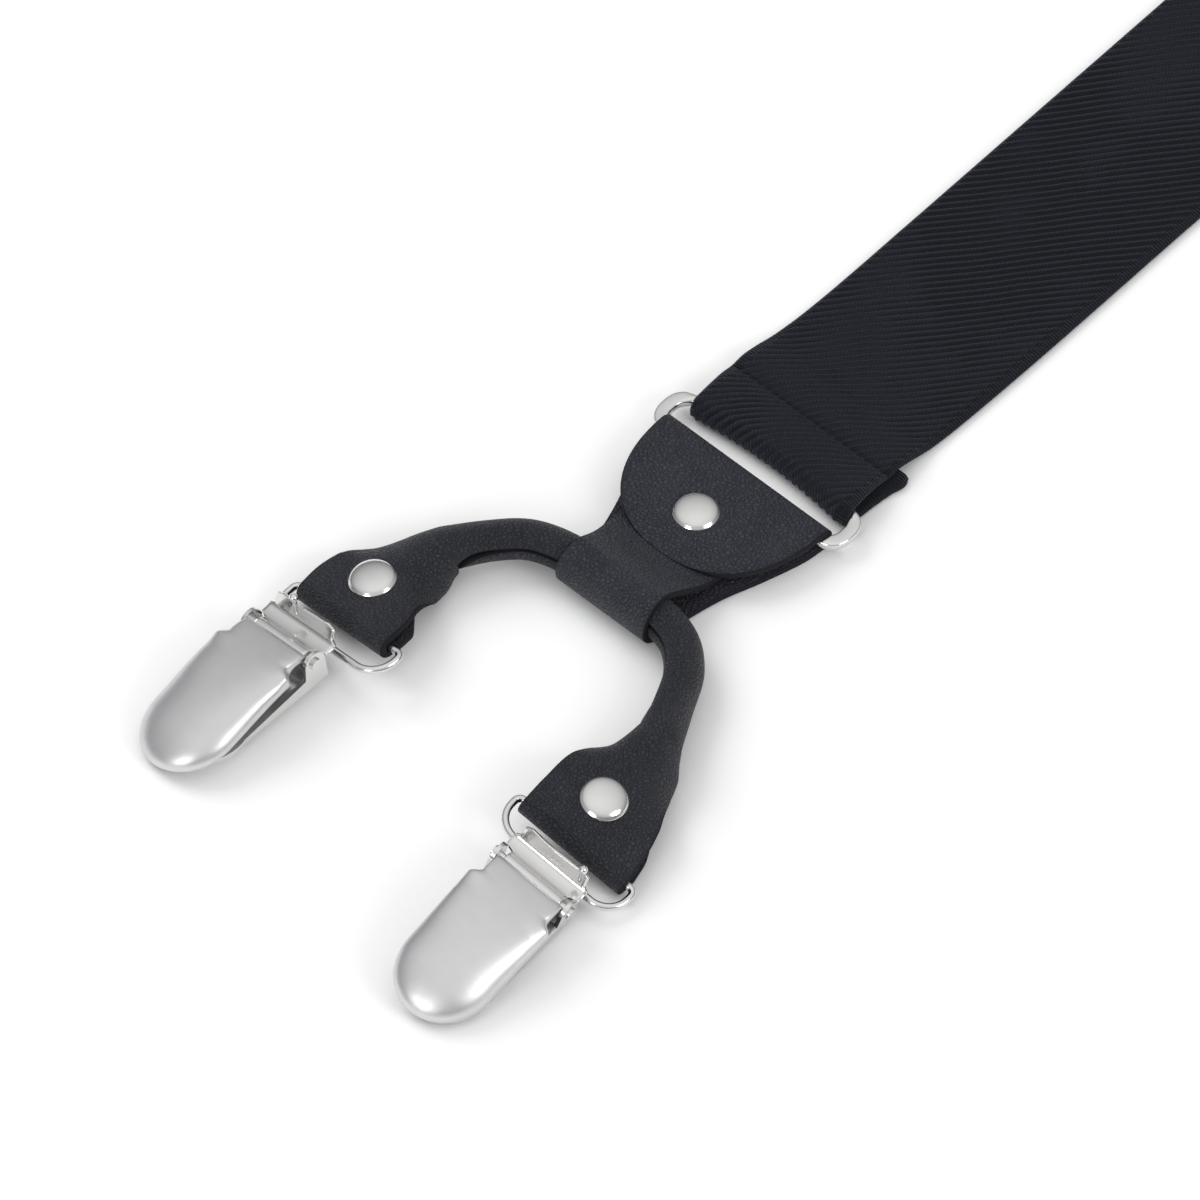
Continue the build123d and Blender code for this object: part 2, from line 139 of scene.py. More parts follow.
class Graph:
    # the nodes of a material or of the world, which end in one shader
    def __init__(self, owner, shader="Principled BSDF"):
        owner.use_nodes = True
        self.owner = owner
        self.nodes = owner.node_tree.nodes
        self.links = owner.node_tree.links
        self.shader = self.nodes[shader]

    def add(self, kind, settings, inputs, output=0):
        node = self.nodes.new(kind)
        for name, value in settings.items():
            if name == "stops":  # the places and colours of a ramp
                for place, (at, colour) in enumerate(value):
                    ramp = node.color_ramp.elements
                    stop = ramp[place] if place < 2 else ramp.new(at)
                    stop.position = at
                    stop.color = colour
            else:
                setattr(node, name, value)
        for name, value in inputs.items():
            self.feed(node.inputs[name], value)
        return Signal(self, node.outputs[output])

    def feed(self, socket, value):
        if isinstance(value, Signal):
            self.links.new(value.socket, socket)
        else:
            socket.default_value = value

    def surface(self, **inputs):
        for name, value in inputs.items():
            self.feed(self.shader.inputs[name.replace("_", " ")], value)
        return self.owner

    def blend(self, amount, first, second):
        settings = {"data_type": "RGBA"}
        return self.add("ShaderNodeMix", settings, {0: amount, 6: first, 7: second}, 2)

    def noise(self, where, scale, detail=3.0, roughness=0.55):
        inputs = {"Vector": where, "Scale": scale, "Detail": detail, "Roughness": roughness}
        return self.add("ShaderNodeTexNoise", {}, inputs)

    def bump(self, height, depth, strength=1.0):
        inputs = {"Height": height, "Distance": depth, "Strength": strength}
        return self.add("ShaderNodeBump", {}, inputs)

    def place(self):
        return self.add("ShaderNodeTexCoord", {}, {}, 3)

    def lie(self):
        # the flat layout of a strip in millimetres: x across it, y along it
        return self.add("ShaderNodeUVMap", {"uv_map": "lie"}, {})


def materialGraph(name):
    return Graph(bpy.data.materials.new(name))


def scaled(colour, share):
    return tuple(share * part for part in colour[:3]) + (1,)


web = {"pitch": 1.25, "lean": radians(39), "half": 17.5, "thick": 1.5, "selvedge": 1.6, "ribHeight": 0.40,
       "seamAt": 12.4, "shadedGroove": (0.0016, 0.0020, 0.0034, 1), "ridge": (0.0125, 0.0145, 0.0215, 1),
       "ribGlint": (0.060, 0.066, 0.085, 1), "relief": 0.00045, "yarn": 0.62, "weft": 0.55}


def webbingMaterial(name, modelled):
    g = materialGraph(name)
    x = g.add("ShaderNodeSeparateXYZ", {}, {0: g.lie()})
    y = x.sibling(1)
    wander = (g.noise(g.lie(), 0.10, 2.0) - 0.5) * 1.1
    phase = (x * cos(web["lean"]) - y * sin(web["lean"]) + wander) / web["pitch"]
    rib = (phase * (2 * pi)).sine() * 0.5 + 0.5
    inside = web["half"] - abs(x) > web["selvedge"]
    run = x * sin(web["lean"]) + y * cos(web["lean"])
    row = (phase + 0.25).maths("FLOOR")
    yarn = ((run / web["yarn"] + row * 0.37 + phase * 1.3) * (2 * pi)).sine() * 0.5 + 0.5
    weft = ((y / web["weft"]) * (2 * pi)).sine() * 0.5 + 0.5
    fuzz = g.noise(g.lie(), 6.5, 4.0, 0.7)
    height = g.add("ShaderNodeMix", {"data_type": "FLOAT"}, {0: inside, 2: weft * 0.35, 3: yarn * 0.30})
    if not modelled:
        height = height + inside * rib
    height = height + fuzz * 0.35
    # painted highlight: random patches of the rib tops are lightened towards a glint colour
    lit = (g.noise(g.lie(), 2.6, 2.0, 0.6) - 0.56).maths("MULTIPLY", 6.0).clipped()
    # painted shade: the grooves between the ribs and yarns are darker, the rib and yarn tops lighter
    tone = g.blend(rib * inside * 0.8 + yarn * 0.2, web["shadedGroove"], web["ridge"])
    tone = g.blend(lit * rib * 0.16, tone, web["ribGlint"])
    return g.surface(Base_Color=tone, Roughness=0.72 + fuzz * 0.2, Sheen_Weight=0.16,
                     Sheen_Roughness=0.45, Sheen_Tint=(0.55, 0.62, 0.85, 1), Specular_IOR_Level=0.28,
                     Normal=g.bump(height, web["relief"]))


leather = {"grain": 1450.0, "relief": 0.00036, "colour": (0.0250, 0.0280, 0.0420, 1),
           "wornAndGlint": (0.066, 0.071, 0.096, 1), "creaseShade": (0.0090, 0.0100, 0.0165, 1),
           "cut": (0.0060, 0.0062, 0.0085, 1)}


def leatherMaterial(name, dark=1.0):
    g = materialGraph(name)
    here = g.place()
    drift = g.noise(here, 900.0, 2.0)
    spread = g.add("ShaderNodeVectorMath", {"operation": "MULTIPLY_ADD"},
                   {0: drift, 1: (0.0006, 0.0006, 0.0006), 2: here})
    cells = g.add("ShaderNodeTexVoronoi", {"feature": "DISTANCE_TO_EDGE"},
                  {"Vector": spread, "Scale": leather["grain"]})
    pebble = (cells * 3.2).clipped() ** 0.6
    pores = g.noise(here, 5200.0, 2.0, 0.6)
    crease = g.add("ShaderNodeTexNoise", {"noise_type": "RIDGED_MULTIFRACTAL"},
                   {"Vector": here, "Scale": 260.0, "Detail": 4.0})
    patchy = g.noise(here, 90.0, 3.0)
    # painted shade: the creases between the pebbles are darker than their crowns
    colour = g.blend(pebble, scaled(leather["creaseShade"], dark), scaled(leather["colour"], dark))
    # lighter in broad patches of wear, and painted glints on small bright specks
    wearAndGlintMask = ((patchy - 0.45) * 2.0).clipped() * 0.35 + ((pores - 0.60) * 9.0).clipped() * 0.6
    colour = g.blend(wearAndGlintMask, colour, scaled(leather["wornAndGlint"], dark))
    height = pebble + pores * 0.35 + crease * 0.12
    return g.surface(Base_Color=colour, Roughness=0.55 - pebble * 0.12 + patchy * 0.08,
                     Specular_IOR_Level=0.45, Sheen_Weight=0.04, Normal=g.bump(height, leather["relief"]))


def cutMaterial():
    # the raw edge of the hide: matt, dark and fibrous
    g = materialGraph("leatherCut")
    here = g.place()
    fibre = g.noise(here, 2600.0, 4.0, 0.7)
    tone = g.blend(fibre, leather["cut"], (0.020, 0.020, 0.026, 1))
    return g.surface(Base_Color=tone, Roughness=0.85, Specular_IOR_Level=0.2,
                     Normal=g.bump(fibre, 0.00025, 0.9))


def nickelMaterial(name, colour, roughness, streak, depth):
    # streak: fine brushing along the piece, none on polished pieces
    g = materialGraph(name)
    here = g.place()
    haze = g.noise(here, 420.0, 3.0)
    marks = g.noise(here, 3400.0, 3.0, 0.65)
    rough = roughness + (haze - 0.5) * 0.06
    height = marks
    if streak:
        long = g.add("ShaderNodeMapping", {}, {"Vector": g.lie(), "Scale": (9.0, 0.35, 1.0)})
        brush = g.noise(long, 1.0, 4.0, 0.7)
        height = marks * 0.25 + brush
        rough = rough + (brush - 0.5) * 0.22
    tone = g.blend((haze - 0.35).clipped() * 0.5, colour, scaled(colour, 0.86))
    return g.surface(Base_Color=tone, Metallic=1.0, Roughness=rough, Normal=g.bump(height, depth, 0.5))


def threadMaterial():
    g = materialGraph("thread")
    twist = g.add("ShaderNodeTexWave", {"bands_direction": "DIAGONAL"},
                  {"Vector": g.place(), "Scale": 1800.0, "Distortion": 1.5})
    # painted shade: the low bands of the twist are darker than its raised ones
    tone = g.blend(twist, (0.004, 0.005, 0.008, 1), (0.016, 0.018, 0.026, 1))
    return g.surface(Base_Color=tone, Roughness=0.55, Sheen_Weight=0.2, Normal=g.bump(twist, 0.0001))


finish = {
    "ribbed": webbingMaterial("webbingRibbed", True),
    "web": webbingMaterial("webbingWoven", False),
    "leather": leatherMaterial("leatherGrain"),
    "rolled": leatherMaterial("leatherRolled", 0.66),
    "cut": cutMaterial(),
    "polished": nickelMaterial("nickelPolished", (0.76, 0.755, 0.745, 1), 0.17, False, 0.000008),
    "brushed": nickelMaterial("nickelBrushed", (0.70, 0.70, 0.705, 1), 0.40, True, 0.000012),
    "thread": threadMaterial(),
}
print("materials made")


# Mesh making. Shapes are worked out in millimetres in an end's, side's or pin's own frame

def makePiece(name, points, faces, place, materials, body, lie=None, marks=None, weld=False):
    mesh = bpy.data.meshes.new(name)
    mesh.from_pydata([tuple(p) for p in np.asarray(points, float) * mm], [], faces)
    if lie is not None:
        layer = mesh.uv_layers.new(name="lie")
        corner = np.zeros(len(mesh.loops), dtype=np.int32)
        mesh.loops.foreach_get("vertex_index", corner)
        layer.data.foreach_set("uv", np.asarray(lie, float)[corner].ravel())
    for material in materials:
        mesh.materials.append(finish[material])
    if marks is not None:
        mesh.polygons.foreach_set("material_index", marks)
    mesh.transform(place)
    tidy = bmesh.new()
    tidy.from_mesh(mesh)
    if weld:
        bmesh.ops.remove_doubles(tidy, verts=tidy.verts, dist=0.000002)
    bmesh.ops.recalc_face_normals(tidy, faces=tidy.faces)
    for face in tidy.faces:
        face.smooth = True
    tidy.to_mesh(mesh)
    tidy.free()
    piece = bpy.data.objects.new(name, mesh)
    scene.collection.objects.link(piece)
    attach(piece, body)
    return piece


def tubeFaces(rows, columns, closed=False):
    # quads between rows of a ring loft, with the two ends filled when it isn't closed
    faces = []
    for row in range(rows if closed else rows - 1):
        low = row * columns
        high = ((row + 1) % rows) * columns
        for column in range(columns):
            after = (column + 1) % columns
            faces.append((low + column, low + after, high + after, high + column))
    if not closed:
        faces.append(tuple(range(columns - 1, -1, -1)))
        faces.append(tuple((rows - 1) * columns + column for column in range(columns)))
    return faces


def rounded(four, t):
    # a point of the curve between the second and third of four points
    a, b, c, d = four
    return 0.5 * (2 * b + (c - a) * t + (2 * a - 5 * b + 4 * c - d) * t * t
                  + (3 * b - a - 3 * c + d) * t ** 3)


def extended(points):
    return np.vstack([2 * points[0] - points[1], points, 2 * points[-1] - points[-2]])


def smoothLine(points, count):
    # an even walk along a rounded line through the points
    points = np.asarray(points, float)
    padded = extended(points)
    walk = []
    for index in range(len(points) - 1):
        for t in np.linspace(0, 1, 24, endpoint=False):
            walk.append(rounded(padded[index:index + 4], t))
    walk.append(points[-1])
    walk = np.array(walk)
    steps = np.concatenate([[0], np.cumsum(np.linalg.norm(np.diff(walk, axis=0), axis=1))])
    even = np.linspace(0, steps[-1], count)
    return np.stack([np.interp(even, steps, walk[:, axis]) for axis in range(walk.shape[1])], axis=1)


def soften(values, stretch, times):
    # draws each value of the stretch towards its neighbours
    first, last = stretch
    for _ in range(times):
        values[first:last] = (0.25 * values[first - 1:last - 1] + 0.5 * values[first:last]
                              + 0.25 * values[first + 1:last + 1])


def closedWalk(route, step):
    # points about a step apart round a closed route of straight stretches
    line = []
    for index, here in enumerate(route):
        after = route[(index + 1) % len(route)]
        gap = sqrt((after[0] - here[0]) ** 2 + (after[1] - here[1]) ** 2)
        for t in np.linspace(0, 1, max(1, int(gap / step)), endpoint=False):
            line.append([here[0] + (after[0] - here[0]) * t, here[1] + (after[1] - here[1]) * t, 0])
    return np.array(line)


def outwardOf(line):
    tangent = unit(np.roll(line, -1, axis=0) - np.roll(line, 1, axis=0))
    return np.cross(tangent, np.tile([0, 0, 1.0], (len(line), 1)))


def levelAcross(line):
    return np.tile(np.array([1.0, 0, 0]), (len(line), 1))


def alongOf(line):
    return np.concatenate([[0], np.cumsum(np.linalg.norm(np.diff(line, axis=0), axis=1))])


def unit(vectors):
    return vectors / np.maximum(np.linalg.norm(vectors, axis=1, keepdims=True), 1e-9)


def stripRings(line, acrossDirection, left, right, thick, outerCount, innerCount, curl=None, roll=None,
               rounding=0.18):
    # a strip of sheet swept along its middle line. curl is the share of a full tube that it is rolled to
    along = unit(np.gradient(line, axis=0))
    across = unit(acrossDirection - along * np.sum(acrossDirection * along, axis=1, keepdims=True))
    up = np.cross(across, along)
    half = thick / 2
    share = np.linspace(-1, 1, outerCount)
    back = np.linspace(1, -1, innerCount)
    rings = []
    lies = []
    steps = alongOf(line)
    for index in range(len(line)):
        middle = (left[index] + right[index]) / 2
        wide = (right[index] - left[index]) / 2
        r = min(rounding, 0.45 * wide)
        u = np.concatenate([share * (wide - r), [wide, wide], back * (wide - r), [-wide, -wide]])
        off = np.concatenate([np.full(outerCount, half), [half - r, r - half],
                              np.full(innerCount, -half), [r - half, half - r]])
        bend = 0.0 if curl is None else curl[index]
        if bend > 0.01:
            radius = wide / (pi * bend)
            turn = u / radius + (roll[index] if roll is not None else 0.0)
            reach = radius + off + 0.34 * (u / wide) ** 3 * max(0.0, bend - 0.8) / 0.2
            x = reach * np.sin(turn)
            z = reach * np.cos(turn) - radius
        else:
            x, z = u, off
        rings.append(line[index] + np.outer(x + middle, across[index]) + np.outer(z, up[index]))
        lies.append(np.stack([u + middle, np.full(len(u), steps[index])], axis=1))
    return np.array(rings), np.array(lies), up


def stripMarks(rows, outerCount, innerCount):
    # 0 on the faces of the sheet, 1 on its cut edges and ends
    columns = outerCount + innerCount + 4
    ring = np.zeros(columns, dtype=np.int32)
    ring[outerCount - 1:outerCount + 2] = 1
    ring[outerCount + innerCount + 1:] = 1
    ring[columns - 1] = 1
    return np.concatenate([np.tile(ring, rows - 1), [1, 1]]).astype(np.int32)


def flowing(value, knots, values):
    # a rounded curve through the knots
    value = np.clip(np.asarray(value, float), knots[0], knots[-1])
    slopes = np.gradient(np.asarray(values, float), np.asarray(knots, float))
    out = np.zeros(value.shape)
    for index in range(len(knots) - 1):
        gap = knots[index + 1] - knots[index]
        t = np.clip((value - knots[index]) / gap, 0, 1)
        piece = ((2 * t ** 3 - 3 * t ** 2 + 1) * values[index] + (3 * t ** 2 - 2 * t ** 3) * values[index + 1]
                 + gap * (t ** 3 - 2 * t ** 2 + t) * slopes[index]
                 + gap * (t ** 3 - t ** 2) * slopes[index + 1])
        out = np.where(value >= knots[index], piece, out)
    return out


def eased(value, knots, values):
    # smooth interpolation between knots
    value = np.asarray(value, float)
    out = np.full(value.shape, float(values[0]))
    for index in range(len(knots) - 1):
        t = np.clip((value - knots[index]) / (knots[index + 1] - knots[index]), 0, 1)
        t = t * t * (3 - 2 * t)
        out = np.where(value >= knots[index], values[index] + (values[index + 1] - values[index]) * t, out)
    return out


# Webbing, folded round the ring's bar and sewn

def ribHeight(x, y, half):
    wander = 0.35 * np.sin(y * 0.055 + 0.7) + 0.15 * np.sin(x * 0.21 + y * 0.09)
    phase = (x * cos(web["lean"]) - y * sin(web["lean"]) + wander) / web["pitch"]
    wave = 0.5 + 0.5 * np.sin(2 * pi * phase)
    inner = np.clip((half - np.abs(x) - 0.7) / 1.0, 0, 1)
    return web["ribHeight"] * (wave ** 0.8) * inner


backStrap = {"reach": 174.5, "dense": True, "rows": 690, "columns": 150, "patchAt": 143.0}
frontStrap = {"reach": 739.0, "dense": False, "rows": 900, "columns": 40, "patchAt": 672.0, "middleGap": 0.12}
strap = {"back": backStrap, "left_front": frontStrap, "right_front": frontStrap}


def webbing(end):
    own = strap[end]
    reach = own["reach"]
    mid = web["thick"] / 2
    radius = barClear + mid
    arc = [(webBar - radius * sin(a), barHeight - radius * cos(a)) for a in np.linspace(0.25, pi - 0.2, 9)]
    if own["dense"]:
        low = [(18.0, mid + 0.05), (15.0, mid), (10.0, mid)]
        over = [(8.4, 4.20), (11.8, 3.45), (14.7, 2.55), (17.6, 2.70), (20.6, 2.10), (24.6, 1.12),
                (29.0, mid + 0.02), (34.0, mid)]
    else:
        low = [(176.0, 1.65), (100.0, 1.65), (22.0, 1.60), (14.0, 1.20)]
        over = [(9.0, 4.15), (14.7, 3.40), (22.0, 3.20), (60.0, 3.15), (120.0, 3.15), (177.0, 3.15),
                (186.0, mid + 0.1), (192.0, mid)]
    far = [(y, mid) for y in np.linspace(over[-1][0] + 12, own["patchAt"], 6)]
    raised = 1.2 + mid
    rise = [(own["patchAt"] + 7, raised), (own["patchAt"] + 14, raised), (reach, raised)]
    control = [(0, y, z) for y, z in low + arc + over + far + rise]
    line = smoothLine(control, own["rows"])
    steps = alongOf(line)
    foldStep = steps[np.argmin(line[:, 1])]
    span = steps - foldStep
    half = web["half"]
    topSide = span > 0
    y = line[:, 1]
    if own["dense"]:
        right = np.where(topSide, flowing(y, [2, 8, 14, 20, 34, 90], [18.3, 17.7, 17.0, 17.1, 17.6, 17.9]),
                         flowing(y, [2, 8, 14, 16.8, 18.7], [18.3, 18.1, 18.7, 19.2, 18.3]))
        left = -np.where(topSide, flowing(y, [2, 8, 14, 20, 34, 60], [16.7, 17.1, 17.8, 17.9, 17.2, 17.0]),
                         flowing(y, [2, 8, 14, 18.7], [16.7, 17.2, 18.2, 18.5]))
    else:
        right = np.full(len(y), half)
        left = np.full(len(y), -half)
    inner = 8 if own["dense"] else own["columns"]
    rings, lies, up = stripRings(line, levelAcross(line), left, right, web["thick"], own["columns"],
                                 inner, rounding=0.55)
    lies[:, :, 1] = span[:, None]
    outer = own["columns"]
    if own["dense"]:
        x = lies[:, :outer, 0]
        lift = ribHeight(x, lies[:, :outer, 1], half) - 0.12
        lift = lift - 0.42 * np.exp(-((lies[:, :outer, 1] - web["seamAt"]) / 0.55) ** 2)
        buried = np.clip((own["patchAt"] - 2 - line[:, 1]) / 6, 0, 1)[:, None]
        lift = np.where(span[:, None] < -2.0, np.minimum(lift, 0.0), lift) * buried
        rings[:, :outer] += lift[:, :, None] * up[:, None, :]
    # the loop stands a little further back in its middle
    pulled = np.clip(1 - (rings[:, :, 0] / 17.0) ** 2, 0, 1) * np.clip((14.0 - rings[:, :, 1]) / 11.0, 0, 1)
    rings[:, :, 1] += ringShape["bow"] * 1.35 * pulled
    rings[:, :, 2] = np.maximum(rings[:, :, 2], 0.02)
    rows, columns = rings.shape[:2]
    place = endFrame(end)
    if not own["dense"]:
        # the two front straps meet edge to edge under the patch
        world = np.array(place)
        moved = rings.reshape(-1, 3) @ world[:3, :3].T + world[:3, 3] / mm
        if world[0, 3] > 0:
            moved[:, 0] = np.maximum(moved[:, 0], own["middleGap"])
        else:
            moved[:, 0] = np.minimum(moved[:, 0], -own["middleGap"])
        rings = ((moved - world[:3, 3] / mm) @ world[:3, :3]).reshape(rings.shape)
    finishName = "ribbed" if own["dense"] else "web"
    piece = makePiece(end + "_webbing", rings.reshape(-1, 3), tubeFaces(rows, columns), place,
                      [finishName], "straps", lie=lies.reshape(-1, 2))
    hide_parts(end + "_strap")


# Ring between the webbing and the yoke: round bars in the folds, flat ends beside them

ringShape = {"length": 42.4, "corner": 3.3, "flatWide": 1.25, "flatHigh": 0.86, "bar": 1.0, "bow": 1.0}


def ring(end):
    own = ringShape
    halfX = own["length"] / 2 - own["flatWide"]
    halfY = (webBar - yokeBar) / 2
    corner = own["corner"]
    route = []
    for cx, cy, start in ((halfX - corner, halfY - corner, 0), (corner - halfX, halfY - corner, 90),
                          (corner - halfX, corner - halfY, 180), (halfX - corner, corner - halfY, 270)):
        for a in np.linspace(start, start + 90, 12):
            route.append((cx + corner * cos(radians(a)), cy + corner * sin(radians(a)), 0))
    line = closedWalk(route, 0.8)
    line[:, 1] += np.where(line[:, 1] > 2.0, own["bow"] * np.clip(1 - (line[:, 0] / 18.5) ** 2, 0, 1), 0.0)
    outward = outwardOf(line)
    sides = 28
    rings = []
    for index, here in enumerate(line):
        flat = float(eased(abs(here[0]), [17.6, 19.4], [0.0, 1.0]))
        wide = own["bar"] + (own["flatWide"] - own["bar"]) * flat
        high = own["bar"] + (own["flatHigh"] - own["bar"]) * flat
        power = 2.0 + 2.2 * flat
        for a in np.linspace(0, 2 * pi, sides, endpoint=False):
            c, s = cos(a), sin(a)
            rings.append(here + outward[index] * wide * np.sign(c) * abs(c) ** (2 / power)
                         + np.array([0, 0, high * np.sign(s) * abs(s) ** (2 / power)]))
    middle = Matrix.Translation((0, (webBar + yokeBar) / 2 * mm, barHeight * mm))
    piece = makePiece(end + "_ring_piece", rings, tubeFaces(len(line), sides, True),
                      endFrame(end) @ middle, ["polished"], end + "_ring_body")
    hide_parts(end + "_ring")


# Yoke: one strip of leather. It starts under the flap, rolls round the cord, comes back along the
# floor, folds round the ring's bar and ends as the half-round flap

yoke = {"thick": 1.4, "rollY": -33.3, "rollZ": 4.78, "roll": 3.98, "neck": 9.6, "flapHalf": 18.1,
        "flapDepth": 22.9, "floor": 0.80, "flapMid": 4.36, "mid": 2.95, "columns": 26,
        "start": radians(66), "stop": radians(262), "tip": 8.0, "capAt": (-0.6, -13.0, 4.80),
        "cap": {"radius": 4.05, "height": 1.45, "under": 4.0}}


def yokePiece(end):
    own = yoke
    r = own["roll"]
    wrap = [(own["rollY"] + r * cos(a), own["rollZ"] + r * sin(a))
            for a in np.linspace(own["start"], own["stop"], 15)]
    foldR = barClear + own["thick"] / 2
    fold = [(yokeBar + foldR * sin(a), barHeight - foldR * cos(a)) for a in np.linspace(0.15, pi - 0.15, 9)]
    control = ([(-9.0, own["mid"]), (-15.0, own["mid"]), (-20.5, own["mid"] + 0.1), (-25.5, 4.85)] + wrap
               + [(-29.0, own["floor"]), (-22.0, own["floor"]), (-12.0, own["floor"]), (-5.6, own["floor"])]
               + fold
               + [(-5.5, own["flapMid"]), (-10.0, own["flapMid"] + 0.05), (-16.0, own["flapMid"] - 0.05),
                  (-20.0, own["flapMid"] - 0.25), (-own["flapDepth"] - 0.05, own["flapMid"] - 0.45)])
    line = smoothLine([(0, y, z) for y, z in control], 330)
    steps = alongOf(line)
    # the flap's last stretch is walked finer, so that its round end is smooth
    tip = own["tip"]
    walk = np.concatenate([np.linspace(0, steps[-1] - tip, 240),
                           steps[-1] - tip * (1 - np.sin(np.linspace(0.02, pi / 2, 60)))])
    line = np.stack([np.interp(walk, steps, line[:, axis]) for axis in range(3)], axis=1)
    y = line[:, 1]
    foldAt = int(np.argmax(y))
    floorSide = np.arange(len(line)) < foldAt
    rollAt = int(np.argmin(y))
    ramp = np.arange(len(line)) < rollAt
    lower = flowing(y, [-34.0, -27.5, -21.0, -13.3, -5.0, -1.0], [9.9, 11.0, 12.6, 15.3, 17.6, 18.0])
    upper = flowing(y, [-37.4, -30.0, -23.0, -9.0], [9.9, 9.3, 10.4, 10.8])
    straight = 1.6
    share = np.clip((-y - straight) / (own["flapDepth"] - straight), 0, 1)
    power = 2.35
    flap = own["flapHalf"] * np.clip(1 - share ** power, 0.0, 1) ** (1 / power)
    flap = np.maximum(flap, 0.25)
    half = np.where(ramp, upper, np.where(floorSide, lower, flap))
    shift = np.where(ramp | floorSide, eased(y, [-37.0, -20.0], [0.4, 0.0]), 0.0)
    layers = own["columns"]
    rings, lies, _ = stripRings(line, levelAcross(line), shift - half, shift + half, own["thick"], layers,
                                layers, rounding=0.20)
    # the rivet pulls the flap in a little, and the flap's face is not quite flat
    outerOnes = rings[foldAt:, :layers]
    spot = np.hypot(outerOnes[:, :, 0], outerOnes[:, :, 1] + 13.0)
    outerOnes[:, :, 2] -= 0.32 * np.exp(-((spot - 4.0).clip(0) / 1.7) ** 2)
    outerOnes[:, :, 2] += (0.10 * np.sin(outerOnes[:, :, 0] * 0.35 + 0.8)
                           * np.sin(outerOnes[:, :, 1] * 0.21))
    rings[:, :, 2] = np.maximum(rings[:, :, 2], 0.03)
    rows, columns = rings.shape[:2]
    piece = makePiece(end + "_yoke_leather", rings.reshape(-1, 3), tubeFaces(rows, columns), endFrame(end),
                      ["leather", "cut"], end + "_yoke_body", lie=lies.reshape(-1, 2),
                      marks=stripMarks(rows, layers, layers))
    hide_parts(end + "_yoke")


# Rolled strap: one strip from ear to ear, folded round each D-ring and rolled into a cord between

arms = {"thick": 1.4, "around": 17.6, "foldMid": 1.45, "columns": 30, "earRows": 150, "cordRows": 120,
        "underRows": 30, "softLine": (110, 310), "softWidth": (95, 325), "twist": 14,
        "seamTurns": (108.0, 126.0),
        "route": [(-21.7, -40.4), (-16.8, -35.7), (-9.5, -33.5), (0, -33.3), (9.5, -33.4), (15.6, -35.0),
                  (20.2, -39.0), (23.0, -44.2)]}
earShape = (
    {"neck": (2.4, 21.5), "y": [0, 5, 9, 13, 17, 21.5], "left": [-10.8, -11.1, -9.9, -7.8, -4.8, -1.4],
     "right": [9.7, 9.3, 8.3, 6.9, 5.6, 5.0], "under": 12.0, "cap": (-1.9, 7.5)},
    {"neck": (-3.4, 25.0), "y": [0, 6, 11, 15, 18.5, 22, 25.0],
     "left": [-11.2, -11.4, -11.3, -10.2, -8.6, -7.4, -6.8],
     "right": [10.8, 9.6, 8.0, 6.1, 3.9, 1.4, -0.2], "under": 14.5, "cap": (-1.6, 8.4)},
)


